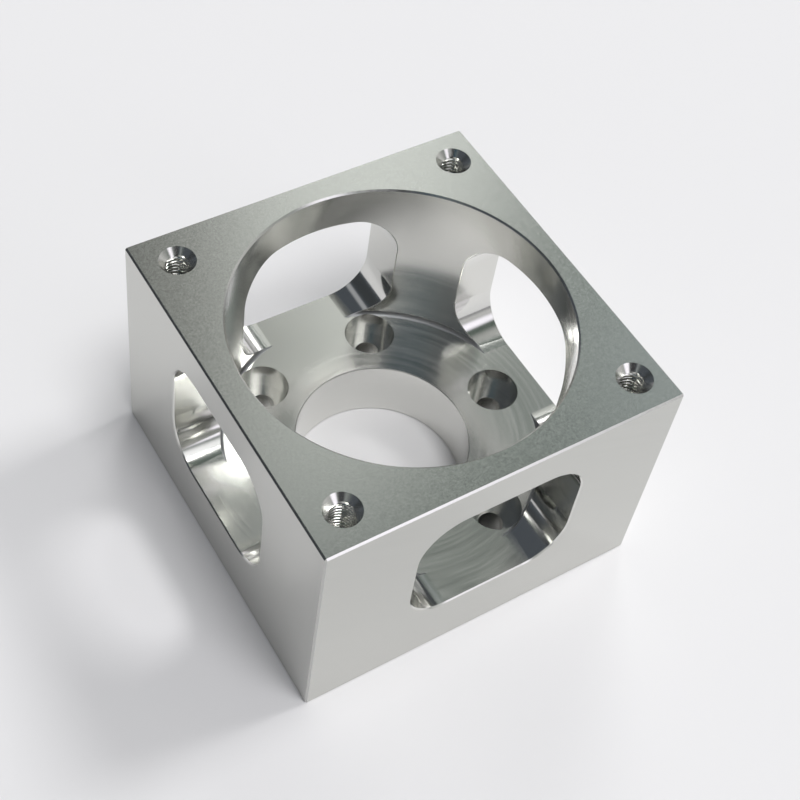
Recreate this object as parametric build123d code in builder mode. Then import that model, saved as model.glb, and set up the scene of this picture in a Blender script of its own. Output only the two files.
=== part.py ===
import os
from math import radians, tan

from build123d import *

os.makedirs("parts", exist_ok=True)

# Main cavity, open at the top, in millimetres with +Z up. All the bores share its upright
# axis, and the origin is in the middle of the block's base
cavity_r = 37.0
cavity_rim_chamfer = 0.4
floor_fillet = 1.0

# Walls of the block around the cavity at their thinnest. The cavity stands a little to the right
left_wall = 6.2
right_wall = 4.8
end_wall = 6.0
edge_chamfer = 0.4

# Heights above the base
block_z = 59.0
floor_z = 16.0

# Centre bore through the floor
centre_bore_r = 20.0
centre_bore_chamfer = 0.2

# Side windows, whose sills stand a hair above the floor
window_w = 40.0
window_head = 10.0
window_corner_r = 10.0
window_chamfer = 0.3
window_inner_chamfer = 0.15
sill_step = 0.05

# Tapped holes in the top corners, M6 threads at tap drill size
motor_hole_inset = 8.2
tap_drill_r = 2.5
tap_drill_depth = 20.0
tap_countersink_r = 4.05
tap_countersink_angle = 90.0
drill_point_angle = 118.0

# Counterbored screw holes through the floor, on a circle just inside the cavity wall
flange_hole_angles = (0.0, 65.0, 125.0, 235.0, 295.0)
screw_clearance_r = 2.9
screw_exit_chamfer = 0.3
counterbore_r = 6.0
counterbore_depth = 7.0
counterbore_wall_gap = 0.35

# Block around the cavity
block_x = 2 * cavity_r + left_wall + right_wall
block_y = 2 * (cavity_r + end_wall)
axis_x = (left_wall - right_wall) / 2
cavity_depth = block_z - floor_z

# Windows between the floor and the head
sill_z = floor_z + sill_step
window_top_z = block_z - window_head
window_h = window_top_z - sill_z
window_mid_z = sill_z + window_h / 2

# Hole patterns
motor_hole_spacing = block_y - 2 * motor_hole_inset
drill_point_h = tap_drill_r / tan(radians(drill_point_angle / 2))
flange_circle_r = cavity_r - counterbore_wall_gap - counterbore_r

with BuildPart() as housing:
    # Solid block with its outer edges broken
    with BuildSketch():
        Rectangle(block_x, block_y)
    extrude(amount=block_z)
    chamfer(housing.edges(), edge_chamfer)

    # Main cavity open at the top, and the centre bore through its floor
    with BuildSketch(Plane.XY.offset(floor_z)):
        with Locations((axis_x, 0)):
            Circle(cavity_r)
    extrude(amount=cavity_depth, mode=Mode.SUBTRACT)
    with BuildSketch():
        with Locations((axis_x, 0)):
            Circle(centre_bore_r)
    extrude(amount=floor_z, mode=Mode.SUBTRACT)

    # Broken ends on the centre bore, a broken cavity rim and a filleted cavity floor
    circles = housing.edges().filter_by(GeomType.CIRCLE).group_by(SortBy.RADIUS)
    centre_bore_ends = circles[0]
    cavity_foot, cavity_rim = circles[-1].sort_by(Axis.Z)
    chamfer(centre_bore_ends, centre_bore_chamfer)
    chamfer(cavity_rim, cavity_rim_chamfer)
    fillet(cavity_foot, floor_fillet)

    # Windows cut straight through the front and back walls, in line with the bores
    with BuildSketch(Plane.XZ):
        with Locations((axis_x, window_mid_z)):
            RectangleRounded(window_w, window_h, window_corner_r)
    extrude(amount=block_y / 2, both=True, mode=Mode.SUBTRACT)

    # Windows cut straight through the left and right walls
    with BuildSketch(Plane.YZ):
        with Locations((0, window_mid_z)):
            RectangleRounded(window_w, window_h, window_corner_r)
    extrude(amount=block_x / 2, both=True, mode=Mode.SUBTRACT)

    # Broken edges where the windows meet the four outer faces
    for axis in (Axis.X, Axis.Y):
        for end in (0, -1):
            outer_face = housing.faces().sort_by(axis)[end]
            chamfer(outer_face.inner_wires()[0].edges(), window_chamfer)

    # Deburred edges where the windows break into the cavity
    cavity_wall = housing.faces().filter_by(GeomType.CYLINDER).sort_by(SortBy.AREA)[-1]
    wall_foot_z = floor_z + floor_fillet
    inner_edges = cavity_wall.edges().filter_by(
        lambda edge: wall_foot_z < edge.center().Z <= window_top_z
    )
    chamfer(inner_edges, window_inner_chamfer)

    # Tap drillings in the top corners, countersunk and ending in a drill point
    with Locations((axis_x, 0, block_z)):
        with GridLocations(motor_hole_spacing, motor_hole_spacing, 2, 2):
            CounterSinkHole(
                tap_drill_r,
                tap_countersink_r,
                depth=tap_drill_depth,
                counter_sink_angle=tap_countersink_angle,
            )
            with Locations((0, 0, -tap_drill_depth)):
                Cone(
                    bottom_radius=0,
                    top_radius=tap_drill_r,
                    height=drill_point_h,
                    align=(Align.CENTER, Align.CENTER, Align.MAX),
                    mode=Mode.SUBTRACT,
                )

    # Counterbored screw holes in the floor. The counterboring tool also runs a little way
    # into the floor fillet
    with Locations((axis_x, 0, floor_z)):
        for angle in flange_hole_angles:
            with PolarLocations(flange_circle_r, 1, start_angle=angle):
                CounterBoreHole(screw_clearance_r, counterbore_r, counterbore_depth)
                Cylinder(
                    counterbore_r,
                    floor_fillet,
                    align=(Align.CENTER, Align.CENTER, Align.MIN),
                    mode=Mode.SUBTRACT,
                )
                with Locations((0, 0, -floor_z)):
                    Cone(
                        bottom_radius=screw_clearance_r + screw_exit_chamfer,
                        top_radius=screw_clearance_r,
                        height=screw_exit_chamfer,
                        align=(Align.CENTER, Align.CENTER, Align.MIN),
                        mode=Mode.SUBTRACT,
                    )

housing.part.label = "housing"
export_step(housing.part, "parts/housing.step")
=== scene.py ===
from math import cos, hypot, pi, radians, sin, tan, tau

import bpy
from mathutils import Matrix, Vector


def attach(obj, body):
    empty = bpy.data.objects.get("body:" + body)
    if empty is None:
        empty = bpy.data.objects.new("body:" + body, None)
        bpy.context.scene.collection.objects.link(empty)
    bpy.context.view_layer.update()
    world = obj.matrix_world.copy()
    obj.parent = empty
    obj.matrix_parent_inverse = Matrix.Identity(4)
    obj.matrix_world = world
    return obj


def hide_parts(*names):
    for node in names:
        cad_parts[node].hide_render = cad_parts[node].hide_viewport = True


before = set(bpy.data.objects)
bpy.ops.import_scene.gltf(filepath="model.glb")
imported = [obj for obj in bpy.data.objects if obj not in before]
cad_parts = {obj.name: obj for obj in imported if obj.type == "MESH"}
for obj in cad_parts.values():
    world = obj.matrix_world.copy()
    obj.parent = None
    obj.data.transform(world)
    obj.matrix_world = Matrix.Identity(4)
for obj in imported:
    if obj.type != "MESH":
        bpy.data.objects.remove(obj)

bpy.context.view_layer.update()


# Housing. The real piece is one block of aluminium alloy, milled all over from solid. Its
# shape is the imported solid's, and each section gives one kind of cut face its own finish. The
# top face was faced last, with a fine mill that left a soft even grain
mm = 0.001
block_z = 59.0 * mm
finishes = []

# How near the middle of a face lies to the surface that it is part of
on_surface = 0.03 * mm


def finish_material(name):
    """A new metal finish with its shader, and the place on the housing that it reads."""
    material = bpy.data.materials.new(name)
    material.use_nodes = True
    shader = material.node_tree.nodes["Principled BSDF"]
    shader.inputs["Metallic"].default_value = 1.0
    place = material.node_tree.nodes.new("ShaderNodeTexCoord").outputs["Object"]
    return material, shader, place


def pattern_group(name, inputs):
    """A new shader group that makes the tone and the height of a pattern from its inputs."""
    group = bpy.data.node_groups.new(name, "ShaderNodeTree")
    for socket, kind, value in inputs:
        made = group.interface.new_socket(socket, in_out="INPUT", socket_type=kind)
        if value is not None:
            made.default_value = value
    for socket in ("Tone", "Height"):
        group.interface.new_socket(socket, in_out="OUTPUT", socket_type="NodeSocketFloat")
    start = group.nodes.new("NodeGroupInput")
    end = group.nodes.new("NodeGroupOutput")
    return group, group.nodes, group.links, start.outputs, end.inputs


def put_out(nodes, links, noise, end):
    """Ends a pattern group with a noise: plain as the height, and spread as the tone."""
    links.new(noise.outputs["Fac"], end["Height"])
    spread = nodes.new("ShaderNodeMapRange")
    spread.inputs["From Min"].default_value = 0.3
    spread.inputs["From Max"].default_value = 0.7
    links.new(noise.outputs["Fac"], spread.inputs["Value"])
    links.new(spread.outputs["Result"], end["Tone"])


# Fine grain of a cut aluminium surface: small pits and torn specks that catch the light
grain, nodes, links, start, end = pattern_group(
    "cut_grain",
    [("Place", "NodeSocketVector", None), ("Size", "NodeSocketFloat", 0.4)],
)
scale = nodes.new("ShaderNodeMath")
scale.operation = "DIVIDE"
scale.inputs[0].default_value = 1 / mm
links.new(start["Size"], scale.inputs[1])
specks = nodes.new("ShaderNodeTexNoise")
specks.inputs["Detail"].default_value = 3.0
specks.inputs["Roughness"].default_value = 0.65
links.new(start["Place"], specks.inputs["Vector"])
links.new(scale.outputs[0], specks.inputs["Scale"])
put_out(nodes, links, specks, end)


def draw_pattern(shader, group, places, sizes):
    """The tone and height of a pattern group, fed with places and sizes by socket name."""
    tree = shader.id_data
    pattern = tree.nodes.new("ShaderNodeGroup")
    pattern.node_tree = group
    for socket, place in places.items():
        tree.links.new(place, pattern.inputs[socket])
    for socket, size in sizes.items():
        pattern.inputs[socket].default_value = size
    return pattern.outputs["Tone"], pattern.outputs["Height"]


def vary_metal(shader, tone, dark, light, smooth, rough):
    """Lets a pattern's tone move the metal between two colours and two roughnesses."""
    tree = shader.id_data
    colour = tree.nodes.new("ShaderNodeMix")
    colour.data_type = "RGBA"
    colour.inputs["A"].default_value = (*dark, 1.0)
    colour.inputs["B"].default_value = (*light, 1.0)
    tree.links.new(tone, colour.inputs["Factor"])
    tree.links.new(colour.outputs["Result"], shader.inputs["Base Color"])
    roughness = tree.nodes.new("ShaderNodeMix")
    roughness.inputs["A"].default_value = smooth
    roughness.inputs["B"].default_value = rough
    tree.links.new(tone, roughness.inputs["Factor"])
    tree.links.new(roughness.outputs["Result"], shader.inputs["Roughness"])


def press_in(shader, height, depth):
    """Presses a pattern's height into the surface, to a depth in millimetres."""
    tree = shader.id_data
    bump = tree.nodes.new("ShaderNodeBump")
    bump.inputs["Distance"].default_value = depth * mm
    tree.links.new(height, bump.inputs["Height"])
    tree.links.new(bump.outputs["Normal"], shader.inputs["Normal"])


def grained_metal(name, size, dark, light, smooth, rough, depth=None):
    """A metal finish with a grain of this size, pressed in where it has a depth."""
    material, shader, place = finish_material(name)
    tone, height = draw_pattern(shader, grain, {"Place": place}, {"Size": size})
    vary_metal(shader, tone, dark, light, smooth, rough)
    if depth is not None:
        press_in(shader, height, depth)
    return material


def on_top(centre, normal):
    return abs(centre.z - block_z) < on_surface


top_face = grained_metal(
    "faced_top",
    size=0.4,
    dark=(0.62, 0.63, 0.605),
    light=(0.76, 0.77, 0.74),
    smooth=0.18,
    rough=0.23,
    depth=0.004,
)
finishes.append((top_face, on_top))


# Sides and underside of the block, milled smooth with the flank of a large cutter, whose
# faint feed lines run on a slant
half_x = 42.5 * mm
half_y = 43.0 * mm
across_slant = (0.4, 0.4, 0.9)
along_slant = (0.9, 0.9, -0.4)

# Feed lines that a cutter leaves, long in one direction and close together in the other
feed_lines, nodes, links, start, end = pattern_group(
    "feed_lines",
    [
        ("Across", "NodeSocketFloat", 0.0),
        ("Along", "NodeSocketFloat", 0.0),
        ("Spacing", "NodeSocketFloat", 0.3),
        ("Length", "NodeSocketFloat", 20.0),
    ],
)
stretched = nodes.new("ShaderNodeCombineXYZ")
for coordinate, divisor, side in (("Across", "Spacing", "X"), ("Along", "Length", "Y")):
    divide = nodes.new("ShaderNodeMath")
    divide.operation = "DIVIDE"
    links.new(start[coordinate], divide.inputs[0])
    links.new(start[divisor], divide.inputs[1])
    in_mm = nodes.new("ShaderNodeMath")
    in_mm.operation = "DIVIDE"
    in_mm.inputs[1].default_value = mm
    links.new(divide.outputs[0], in_mm.inputs[0])
    links.new(in_mm.outputs[0], stretched.inputs[side])
strokes = nodes.new("ShaderNodeTexNoise")
strokes.inputs["Scale"].default_value = 1.0
strokes.inputs["Detail"].default_value = 1.0
links.new(stretched.outputs["Vector"], strokes.inputs["Vector"])
put_out(nodes, links, strokes, end)


def distance_along(course, place):
    """How far each place on the housing lies along a course."""
    along = place.id_data.nodes.new("ShaderNodeVectorMath")
    along.operation = "DOT_PRODUCT"
    along.inputs[1].default_value = course
    place.id_data.links.new(place, along.inputs[0])
    return along.outputs["Value"]


def draw_lines(shader, across, along, spacing, length):
    """The tone and height of feed lines of this spacing and length in millimetres."""
    places = {"Across": across, "Along": along}
    return draw_pattern(shader, feed_lines, places, {"Spacing": spacing, "Length": length})


def on_side(centre, normal):
    return (
        abs(abs(centre.x) - half_x) < on_surface
        or abs(abs(centre.y) - half_y) < on_surface
        or abs(centre.z) < on_surface
    )


milled_sides, shader, place = finish_material("milled_sides")
tone, _ = draw_lines(
    shader,
    across=distance_along(across_slant, place),
    along=distance_along(along_slant, place),
    spacing=0.5,
    length=60.0,
)
vary_metal(
    shader,
    tone,
    dark=(0.565, 0.567, 0.538),
    light=(0.585, 0.587, 0.558),
    smooth=0.25,
    rough=0.27,
)
finishes.append((milled_sides, on_side))


# Main cavity. Its wall was bored round and round in one setting, which leaves fine level
# lines on it and draws reflections out up and down
axis_x = 0.7 * mm
cavity_r = 37.0 * mm
upwards = (0, 0, 1)
rightwards = (1, 0, 0)

# How near a facet lies to its round wall, and the most that an upright one's normal leans
wall_slack = 0.1 * mm
upright = 0.02


def from_axis(position):
    """Distance from the upright axis that the bores share."""
    return hypot(position.x - axis_x, position.y)


def stretch_reflections(shader):
    """Draws reflections out square to the lines that a cutter left round the axis."""
    shader.inputs["Anisotropic"].default_value = 0.5
    shader.inputs["Anisotropic Rotation"].default_value = 0.25
    around = shader.id_data.nodes.new("ShaderNodeTangent")
    around.direction_type = "RADIAL"
    around.axis = "Z"
    shader.id_data.links.new(around.outputs["Tangent"], shader.inputs["Tangent"])


def on_bored_wall(centre, normal):
    return abs(from_axis(centre) - cavity_r) < wall_slack and abs(normal.z) < upright


bored_wall, shader, place = finish_material("bored_wall")
tone, _ = draw_lines(
    shader,
    across=distance_along(upwards, place),
    along=distance_along(rightwards, place),
    spacing=0.2,
    length=40.0,
)
vary_metal(
    shader,
    tone,
    dark=(0.695, 0.695, 0.665),
    light=(0.73, 0.73, 0.7),
    smooth=0.14,
    rough=0.19,
)
stretch_reflections(shader)
finishes.append((bored_wall, on_bored_wall))


# Fillet round the cavity's foot, turned by the rounded corner of the same cutter. It is
# duller than the wall above it, and its colour is darkened with painted shade that hides the
# highlight it would otherwise catch from the overhead lamp
floor_z = 16.0 * mm
foot_fillet = 1.0 * mm

# How near a facet lies to the fillet's ring, and how nearly straight up its normal may point
fillet_slack = 0.05 * mm
almost_level = 0.9999


def on_foot_fillet(centre, normal):
    inner_r = cavity_r - foot_fillet - fillet_slack
    in_ring = inner_r < from_axis(centre) < cavity_r + fillet_slack
    in_height = floor_z < centre.z < floor_z + foot_fillet
    return in_ring and in_height and upright < normal.z < almost_level


# The dark colour here is painted shade in the crease at the cavity's foot, not the metal's own
# tone
painted_shade_foot = grained_metal(
    "painted_shade_foot_fillet",
    size=0.6,
    dark=(0.2, 0.205, 0.21),
    light=(0.24, 0.245, 0.25),
    smooth=0.5,
    rough=0.56,
)
finishes.append((painted_shade_foot, on_foot_fillet))


# Side windows, cut by an end mill that went round each outline. Their flat walls are satin
# and the corners, where the mill slowed down and turned, are burnished bright
sill_z = 16.05 * mm
window_head_z = 49.0 * mm
half_window = 20.0 * mm

# The least distance that counts, and the limits of the normals on walls and round corners
hair = 0.01 * mm
square_on = 0.01
corner_end = 0.98


def on_window_wall(centre, normal):
    through_y = abs(normal.y) < square_on and abs(centre.x - axis_x) < half_window + on_surface
    through_x = abs(normal.x) < square_on and abs(centre.y) < half_window + on_surface
    in_height = sill_z - hair < centre.z < window_head_z + on_surface
    outside_foot = from_axis(centre) > cavity_r - foot_fillet
    return in_height and outside_foot and (through_y or through_x)


def on_window_corner(centre, normal):
    return on_window_wall(centre, normal) and upright < abs(normal.z) < corner_end


window_flats = grained_metal(
    "window_flats",
    size=0.6,
    dark=(0.69, 0.69, 0.66),
    light=(0.73, 0.73, 0.7),
    smooth=0.2,
    rough=0.26,
    depth=0.0006,
)
window_corners = grained_metal(
    "window_corners",
    size=0.6,
    dark=(0.7, 0.7, 0.675),
    light=(0.74, 0.74, 0.715),
    smooth=0.1,
    rough=0.12,
)
finishes.append((window_corners, on_window_corner))
finishes.append((window_flats, on_window_wall))


# Floor, milled on circles round the shared axis. Its faint rings draw the light out
# towards the axis

# How nearly straight up its faces point, and how near to it the corners of its strips lie
facing_up = 0.99
touching = 0.001 * mm


def on_floor(centre, normal):
    return abs(centre.z - floor_z) < hair and normal.z > facing_up


def on_sill_strip(corners):
    """The start of the foot fillet in front of a window sill, so level that it is floor."""
    return all(
        floor_z - touching < corner.z < sill_z + touching
        and from_axis(corner) > cavity_r - foot_fillet - hair
        and min(abs(corner.x - axis_x), abs(corner.y)) < half_window + on_surface
        for corner in corners
    )


ringed_floor, shader, place = finish_material("ringed_floor")
nodes, links = ringed_floor.node_tree.nodes, ringed_floor.node_tree.links
from_middle = nodes.new("ShaderNodeVectorMath")
from_middle.operation = "SUBTRACT"
from_middle.inputs[1].default_value = (axis_x, 0, 0)
links.new(place, from_middle.inputs[0])
level_part = nodes.new("ShaderNodeVectorMath")
level_part.operation = "MULTIPLY"
level_part.inputs[1].default_value = (1, 1, 0)
links.new(from_middle.outputs[0], level_part.inputs[0])
ring_radius = nodes.new("ShaderNodeVectorMath")
ring_radius.operation = "LENGTH"
links.new(level_part.outputs[0], ring_radius.inputs[0])
tone, height = draw_lines(
    shader,
    across=ring_radius.outputs["Value"],
    along=distance_along(rightwards, place),
    spacing=1.1,
    length=14.0,
)
vary_metal(
    shader,
    tone,
    dark=(0.68, 0.68, 0.65),
    light=(0.74, 0.74, 0.71),
    smooth=0.2,
    rough=0.26,
)
press_in(shader, height, depth=0.008)
stretch_reflections(shader)
finishes.append((ringed_floor, on_floor))


# Centre bore through the floor, bored in the same setting as the cavity. Its level lines are
# finer than the cavity's and hardly felt
centre_bore_r = 20.0 * mm
bore_slack = 0.15 * mm
backwards = (0, 1, 0)


def on_centre_bore(centre, normal):
    return abs(from_axis(centre) - centre_bore_r) < bore_slack and abs(normal.z) < upright


centre_bore, shader, place = finish_material("smooth_centre_bore")
tone, height = draw_lines(
    shader,
    across=distance_along(upwards, place),
    along=distance_along(backwards, place),
    spacing=0.15,
    length=30.0,
)
vary_metal(
    shader,
    tone,
    dark=(0.74, 0.74, 0.71),
    light=(0.77, 0.77, 0.74),
    smooth=0.2,
    rough=0.25,
)
press_in(shader, height, depth=0.0003)
finishes.append((centre_bore, on_centre_bore))


# Counterbored screw holes, sunk into the floor on one circle by a piloted cutter that
# burnished them. Each takes the head of a screw and its washer
screw_circle_r = 30.65 * mm
screw_angles = (0.0, 65.0, 125.0, 235.0, 295.0)
counterbore_reach = 6.05 * mm
screw_axes = [
    (axis_x + screw_circle_r * cos(radians(angle)), screw_circle_r * sin(radians(angle)))
    for angle in screw_angles
]


def on_sunk_hole(centre, normal):
    in_floor = on_surface <= centre.z <= floor_z + foot_fillet
    return in_floor and any(
        hypot(centre.x - x, centre.y - y) < counterbore_reach for x, y in screw_axes
    )


sunk_holes = grained_metal(
    "counterbored_holes",
    size=0.8,
    dark=(0.66, 0.66, 0.63),
    light=(0.68, 0.68, 0.65),
    smooth=0.19,
    rough=0.21,
)
finishes.append((sunk_holes, on_sunk_hole))


# Tapped holes in the top corners. The real ones are drilled, countersunk and cut by an M6
# tap with a right-hand thread of 1 mm pitch, which runs out before the drill point. The
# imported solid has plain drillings, so the walls of these four holes are made here
tap_reach = 34.8 * mm
countersink_r = 4.05 * mm
drill_r = 2.5 * mm
root_r = 3.0 * mm
pitch = 1.0 * mm
drill_end_z = 39.0 * mm
drill_point_angle = 118.0
drill_tip_z = drill_end_z - drill_r / tan(radians(drill_point_angle / 2))
thread_start_z = 57.5 * mm
lead_in = 0.7 * mm
thread_end_z = 43.0 * mm
run_out = 2.0 * mm
tap_columns = 42
tap_axes = [(axis_x + sx * tap_reach, sy * tap_reach) for sx in (-1, 1) for sy in (-1, 1)]

# Outline of one turn of the thread, as drops in pitches and shares of the thread's depth
thread_profile = (
    (0.27, 0.0),
    (0.315, 0.06),
    (0.56, 0.95),
    (0.595, 1.0),
    (0.65, 1.0),
    (0.68, 0.95),
    (0.84, 0.3),
    (0.9, 0.15),
    (1.0, 0.0),
)

# Corners and faces of the whole housing, gathered for one mesh, in which corners that agree
# to a tenth of a micrometre are one point
places_per_metre = 1e7
points = []
point_numbers = {}
faces = []
face_normals = []
face_is_thread = []


def point_number(position):
    """The number of the mesh point at this place, which neighbouring faces share."""
    key = tuple(round(value * places_per_metre) for value in position)
    if key not in point_numbers:
        point_numbers[key] = len(points)
        points.append(tuple(position))
    return point_numbers[key]


def add_face(positions, normals, is_thread):
    """Adds a face, leaving out corners that have run together."""
    corners = []
    corner_normals = []
    for position, normal in zip(positions, normals):
        number = point_number(position)
        if number not in corners:
            corners.append(number)
            corner_normals.append(Vector(normal).normalized())
    if len(corners) > 2:
        faces.append(corners)
        face_normals.append(corner_normals)
        face_is_thread.append(is_thread)


def wall_radius(z, depth_share):
    """Radius of a tapped hole's wall, at a height and a share of the thread's depth."""
    fade = min(1, max(0, (z - thread_end_z) / run_out), max(0, (thread_start_z - z) / lead_in))
    threaded = drill_r + (root_r - drill_r) * depth_share * fade
    return max(threaded, countersink_r - (block_z - z))


def thread_point(column, row):
    """Height and radius on the wall of a tapped hole, down from the countersink's rim."""
    turn, place_in_turn = divmod(row, len(thread_profile))
    drop, depth_share = thread_profile[place_in_turn]
    z = block_z + pitch * (column / tap_columns - turn - drop)
    if z >= block_z:
        return block_z, countersink_r
    if z <= thread_end_z:
        return thread_end_z, drill_r
    return z, wall_radius(z, depth_share)


def wall_normal(column, neighbour, row):
    """Which way the wall faces below a row, sloped as at the neighbour where rows meet."""
    upper, lower = thread_point(column, row), thread_point(column, row + 1)
    if upper == lower:
        upper, lower = thread_point(neighbour, row), thread_point(neighbour, row + 1)
    fall = upper[0] - lower[0]
    narrowing = upper[1] - lower[1]
    angle = tau * column / tap_columns - pi
    return Vector((-fall * cos(angle), -fall * sin(angle), narrowing))


def add_tapped_hole(x, y):
    """Adds the wall of one tapped hole, from its countersunk rim to its drill point."""

    def spot(column, z, r):
        angle = tau * column / tap_columns - pi
        return Vector((x + r * cos(angle), y + r * sin(angle), z))

    rows = int((block_z - thread_end_z) / pitch + 2) * len(thread_profile)
    for column in range(tap_columns):
        # The thread, whose rows run together above the rim and below the run-out
        for row in range(rows):
            corners = []
            normals = []
            for beside, below in ((0, 0), (1, 0), (1, 1), (0, 1)):
                here, neighbour = column + beside, column + 1 - beside
                corners.append(spot(here, *thread_point(here, row + below)))
                normals.append(wall_normal(here, neighbour, row))
            if all(normal.length > 0 for normal in normals):
                add_face(corners, normals, is_thread=True)

        # The plain drilling below it, and the drill point
        drilling = [
            spot(column, thread_end_z, drill_r),
            spot(column + 1, thread_end_z, drill_r),
            spot(column + 1, drill_end_z, drill_r),
            spot(column, drill_end_z, drill_r),
        ]
        inwards = [Vector((x - corner.x, y - corner.y, 0)) for corner in drilling]
        add_face(drilling, inwards, is_thread=True)
        point = [drilling[3], drilling[2], Vector((x, y, drill_tip_z))]
        slope = (point[1] - point[0]).cross(point[2] - point[0])
        add_face(point, [slope] * 3, is_thread=True)


tapped_holes = grained_metal(
    "tapped_holes",
    size=0.3,
    dark=(0.66, 0.66, 0.63),
    light=(0.74, 0.74, 0.71),
    smooth=0.14,
    rough=0.19,
)


# Broken edges. Every sharp edge was chamfered by the last pass of a small cutter, which
# leaves narrow bright bands. The block's upright edges are rougher, and their colour is
# darkened with painted shade that dims their highlight. The deburred rims of the centre bore
# and of the windows inside the cavity are rougher still, and darker with more painted shade

# How far these edges reach from the bore's and the cavity's radius, the window's head and the
# block's corner, and the most that an upright edge's normal leans
inner_rim_reach = 0.25 * mm
window_rim_reach = 0.3 * mm
block_corner_reach = 0.45 * mm
corner_tilt = 0.1


def on_upright_edge(centre, normal):
    near_x = abs(centre.x) > half_x - block_corner_reach
    near_y = abs(centre.y) > half_y - block_corner_reach
    return near_x and near_y and abs(normal.z) < corner_tilt


def on_inner_edge(centre, normal):
    round_bore = abs(from_axis(centre) - centre_bore_r) < inner_rim_reach
    round_cavity = abs(from_axis(centre) - cavity_r) < inner_rim_reach
    at_window = centre.z < window_head_z + window_rim_reach
    return (round_bore and centre.z < floor_z) or (round_cavity and at_window)


broken_edges = grained_metal(
    "broken_edges",
    size=0.8,
    dark=(0.7, 0.7, 0.67),
    light=(0.75, 0.75, 0.72),
    smooth=0.16,
    rough=0.24,
)
# The dark colour of these rims is painted shade that dims their highlights, not the metal's own
# tone
painted_shade_inner_edges = grained_metal(
    "inner_broken_edges_painted_shade",
    size=0.8,
    dark=(0.36, 0.36, 0.35),
    light=(0.42, 0.42, 0.41),
    smooth=0.36,
    rough=0.42,
)
# The darker colour of the upright edges is painted shade that dims their highlight
painted_shade_upright_edges = grained_metal(
    "upright_broken_edges_painted_shade",
    size=0.8,
    dark=(0.52, 0.52, 0.5),
    light=(0.56, 0.56, 0.54),
    smooth=0.3,
    rough=0.36,
)
finishes.append((painted_shade_upright_edges, on_upright_edge))
finishes.append((painted_shade_inner_edges, on_inner_edge))


# The whole housing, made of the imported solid's faces, but for its plain tap drillings, and of
# the four threaded walls. It is one rigid piece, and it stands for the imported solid
below_drillings_z = 30.0 * mm
sill_strip_facing_up = 0.9


def in_tapped_hole(corners):
    return any(
        all(
            hypot(corner.x - x, corner.y - y) < countersink_r + hair
            and corner.z > below_drillings_z
            for corner in corners
        )
        for x, y in tap_axes
    )


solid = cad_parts["housing"].data
for polygon in solid.polygons:
    corners = [solid.vertices[number].co for number in polygon.vertices]
    normals = [solid.corner_normals[loop].vector for loop in polygon.loop_indices]
    if in_tapped_hole(corners):
        continue
    if on_sill_strip(corners) and polygon.normal.z > sill_strip_facing_up:
        normals = [Vector(upwards)] * len(corners)
    add_face(corners, normals, is_thread=False)
for x, y in tap_axes:
    add_tapped_hole(x, y)

mesh = bpy.data.meshes.new("machined_housing")
mesh.from_pydata(points, [], faces)


def finish_of(polygon, is_thread):
    """The finish on one face of the housing. One that no test knows is a broken edge."""
    if is_thread:
        return tapped_holes
    if on_sill_strip([mesh.vertices[number].co for number in polygon.vertices]):
        return ringed_floor
    for material, test in finishes:
        if test(polygon.center, polygon.normal):
            return material
    return broken_edges


housing_finishes = [broken_edges, tapped_holes] + [material for material, test in finishes]
for material in housing_finishes:
    mesh.materials.append(material)
for polygon, is_thread in zip(mesh.polygons, face_is_thread):
    polygon.use_smooth = True
    polygon.material_index = housing_finishes.index(finish_of(polygon, is_thread))
mesh.normals_split_custom_set([normal for normals in face_normals for normal in normals])

housing = bpy.data.objects.new("machined_housing", mesh)
bpy.context.scene.collection.objects.link(housing)
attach(housing, "root")
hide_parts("housing")


# Table and backdrop. A large matt white board that the housing stands on. Its top lies a
# hair below the housing's underside, so that the two never fight for the same place
table_r = 3.0
table_gap = 0.02 * mm
table_sides = 96
table_colour = (0.758, 0.749, 0.758)
table_turns = [tau * number / table_sides for number in range(table_sides)]
table_rim = [(table_r * cos(turn), table_r * sin(turn), -table_gap) for turn in table_turns]
table_mesh = bpy.data.meshes.new("table")
table_mesh.from_pydata(table_rim, [], [list(range(table_sides))])
table = bpy.data.objects.new("table", table_mesh)
bpy.context.scene.collection.objects.link(table)
white_board = bpy.data.materials.new("matt_white_board")
white_board.use_nodes = True
shader = white_board.node_tree.nodes["Principled BSDF"]
shader.inputs["Base Color"].default_value = (*table_colour, 1.0)
shader.inputs["Roughness"].default_value = 0.7
shader.inputs["Specular IOR Level"].default_value = 0.3
table_mesh.materials.append(white_board)


# Light. A soft key lamp on the right throws the shadow to the left, a larger one hangs
# overhead, a weak one stands low at the back right, and the room fills in the rest
def direction(azimuth, elevation):
    """The direction towards a place in the room, azimuth counted from +X towards +Y."""
    a, e = radians(azimuth), radians(elevation)
    return Vector((cos(e) * cos(a), cos(e) * sin(a), sin(e)))


def soft_lamp(name, azimuth, elevation, size, share):
    """A far lamp that gives a level white board this share of full light."""
    lamp = bpy.data.lights.new(name, "SUN")
    lamp.angle = radians(size)
    lamp.energy = share * pi / sin(radians(elevation))
    stand = bpy.data.objects.new(name, lamp)
    stand.rotation_mode = "QUATERNION"
    stand.rotation_quaternion = direction(azimuth, elevation).to_track_quat("Z", "Y")
    bpy.context.scene.collection.objects.link(stand)


soft_lamp("key_lamp", azimuth=-2.0, elevation=50.5, size=14.0, share=0.26)
soft_lamp("overhead_lamp", azimuth=-78.0, elevation=73.0, size=22.0, share=0.46)
soft_lamp("low_back_lamp", azimuth=48.0, elevation=19.0, size=24.0, share=0.09)


# Room round the table, which the bright metal mirrors. Its walls are dim at the table's
# level, pale above that and dark overhead, with soft pale boards and dark gaps where the
# metal shows them. Each stop is a height, as the sine of its elevation, and a colour
room_heights = (
    (0.0, (0.32, 0.32, 0.33)),
    (0.06, (0.34, 0.34, 0.35)),
    (0.15, (0.62, 0.62, 0.62)),
    (0.28, (0.6, 0.6, 0.6)),
    (0.62, (0.12, 0.148, 0.13)),
)

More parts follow.
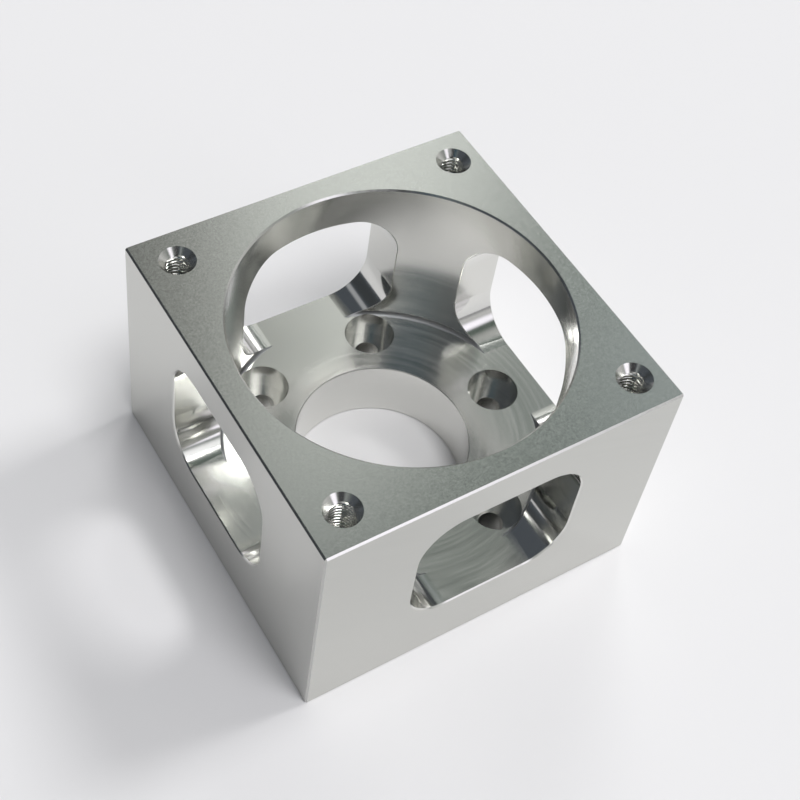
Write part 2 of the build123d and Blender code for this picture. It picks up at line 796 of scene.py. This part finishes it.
# Place of each board or gap by azimuth and elevation, inner and outer radius of its soft
# edge, all in degrees, and its colour. Later ones hang in front of earlier ones
room_boards = (
    ((140.0, 40.0), 42.0, 66.0, (0.08, 0.09, 0.105)),
    ((-122.0, 50.0), 6.0, 26.0, (0.22, 0.235, 0.245)),
    ((-128.0, 56.0), 10.0, 18.0, (0.03, 0.065, 0.095)),
    ((-108.0, 38.0), 8.0, 20.0, (0.04, 0.04, 0.045)),
    ((-137.0, 39.0), 1.0, 4.0, (0.5, 0.5, 0.5)),
    ((134.0, 42.0), 2.0, 8.0, (0.4, 0.41, 0.43)),
    ((147.0, 20.0), 8.0, 20.0, (0.05, 0.055, 0.06)),
    ((-18.0, 46.0), 8.0, 22.0, (0.58, 0.58, 0.57)),
    ((24.0, 27.0), 9.0, 18.0, (0.3, 0.31, 0.31)),
    ((22.0, 48.0), 6.0, 13.0, (0.14, 0.16, 0.155)),
    ((35.0, 48.0), 1.0, 6.0, (0.42, 0.47, 0.48)),
    ((-84.0, 60.0), 10.0, 19.0, (1.3, 1.3, 1.33)),
    ((-70.0, 30.0), 8.0, 15.5, (1.47, 1.42, 1.56)),
    ((68.0, 50.0), 6.0, 11.5, (0.14, 0.14, 0.13)),
    ((54.4, 43.5), 2.0, 7.8, (1.02, 1.04, 1.01)),
    ((53.5, 50.5), 1.5, 5.8, (0.86, 0.89, 0.85)),
    ((55.5, 56.0), 1.5, 4.6, (0.68, 0.71, 0.68)),
)
world = bpy.data.worlds.new("studio")
bpy.context.scene.world = world
world.use_nodes = True
nodes, links = world.node_tree.nodes, world.node_tree.links
towards = nodes.new("ShaderNodeTexCoord").outputs["Generated"]
rise = nodes.new("ShaderNodeSeparateXYZ")
links.new(towards, rise.inputs["Vector"])
walls = nodes.new("ShaderNodeValToRGB")
stops = walls.color_ramp.elements
while len(stops) < len(room_heights):
    stops.new(1.0)
for stop, (position, colour) in zip(stops, room_heights):
    stop.position = position
    stop.color = (*colour, 1.0)
links.new(rise.outputs["Z"], walls.inputs["Fac"])
room = walls.outputs["Color"]
for (azimuth, elevation), inner, outer, colour in room_boards:
    facing = nodes.new("ShaderNodeVectorMath")
    facing.operation = "DOT_PRODUCT"
    facing.inputs[1].default_value = direction(azimuth, elevation)
    links.new(towards, facing.inputs[0])
    soft_edge = nodes.new("ShaderNodeMapRange")
    soft_edge.interpolation_type = "SMOOTHSTEP"
    soft_edge.inputs["From Min"].default_value = cos(radians(outer))
    soft_edge.inputs["From Max"].default_value = cos(radians(inner))
    links.new(facing.outputs["Value"], soft_edge.inputs["Value"])
    board = nodes.new("ShaderNodeMix")
    board.data_type = "RGBA"
    board.inputs["B"].default_value = (*colour, 1.0)
    links.new(room, board.inputs["A"])
    links.new(soft_edge.outputs["Result"], board.inputs["Factor"])
    room = board.outputs["Result"]
links.new(room, nodes["Background"].inputs["Color"])


# Camera, at the photograph's place and angle. Its lens and shift give the photograph's
# frame, and everything is in focus
camera = bpy.data.cameras.new("camera")
camera.lens = 69.433
camera.sensor_width = 36.0
camera.shift_x = 0.02664
camera.shift_y = -0.07824
camera.clip_start = 0.01
camera.clip_end = 20.0
viewer = bpy.data.objects.new("camera", camera)
viewer.location = (-0.13017, -0.16071, 0.30434)
viewer.rotation_euler = (radians(38.9948), radians(-5.7103), radians(-30.9151))
bpy.context.scene.collection.objects.link(viewer)
bpy.context.scene.camera = viewer
bpy.context.scene.view_settings.view_transform = "Standard"

bpy.context.view_layer.update()
